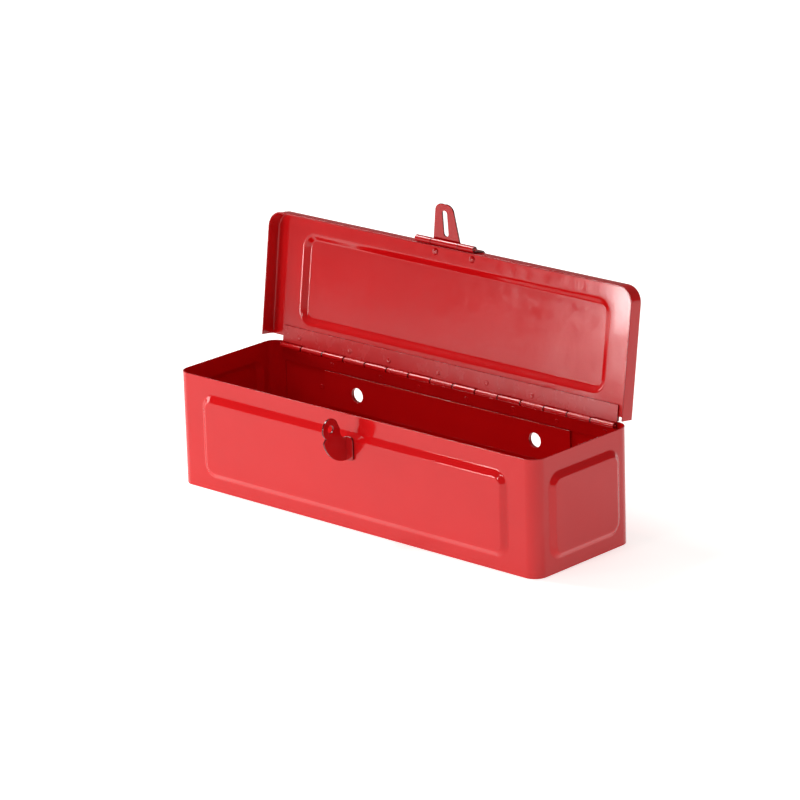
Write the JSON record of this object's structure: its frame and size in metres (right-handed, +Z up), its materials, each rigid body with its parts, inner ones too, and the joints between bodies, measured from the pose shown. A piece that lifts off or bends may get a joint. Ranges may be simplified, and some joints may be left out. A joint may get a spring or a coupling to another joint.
{
  "type": "toolbox",
  "caption": "Long pressed-steel toolbox with a hinged lid leaning open, a slotted hasp, a horn-shaped staple and a stiffened back with holes for bolting on.",
  "frame": {"origin": "centre of the underside of the floor, on the surface the box stands on", "axes": "+X along the box to its right-hand end seen from the front, +Y to the back wall and hinge, +Z up"},
  "size_m": [0.4134, 0.1717, 0.2554],
  "materials": {
    "box_paint": "gloss red enamel on pressed sheet steel",
    "lid_paint": "gloss red enamel on pressed sheet steel",
    "hinge_paint": "gloss red enamel over a continuous hinge",
    "hardware_paint": "gloss red enamel on steel plate hardware"
  },
  "bodies": {
    "box": {"box_wrapper": "box_paint", "back_wall": "box_paint", "floor_plate": "box_paint", "stiffener_plate": "box_paint", "hinge_box_leaf": "hinge_paint", "hinge_pin": "hinge_paint", "staple": "hardware_paint"},
    "lid": {"lid_pan": "lid_paint", "hinge_lid_leaf": "hinge_paint", "hasp_plate": "hardware_paint", "hasp_pin": "hardware_paint", "hasp_rivet_left": "hardware_paint", "hasp_rivet_right": "hardware_paint"},
    "tongue": {"hasp_tongue": "hardware_paint"}
  },
  "joints": [
    {"name": "lid_hinge", "type": "hinge", "parent": "box", "child": "lid", "pos_m": [0, 0.05602, 0.0991], "axis": [1, 0, 0], "range_deg": [0, 98]},
    {"name": "hasp_pivot", "type": "hinge", "parent": "lid", "child": "tongue", "pos_m": [0, 0.06455, 0.2208], "axis": [1, 0, 0], "range_deg": [-60, 78]}
  ]
}
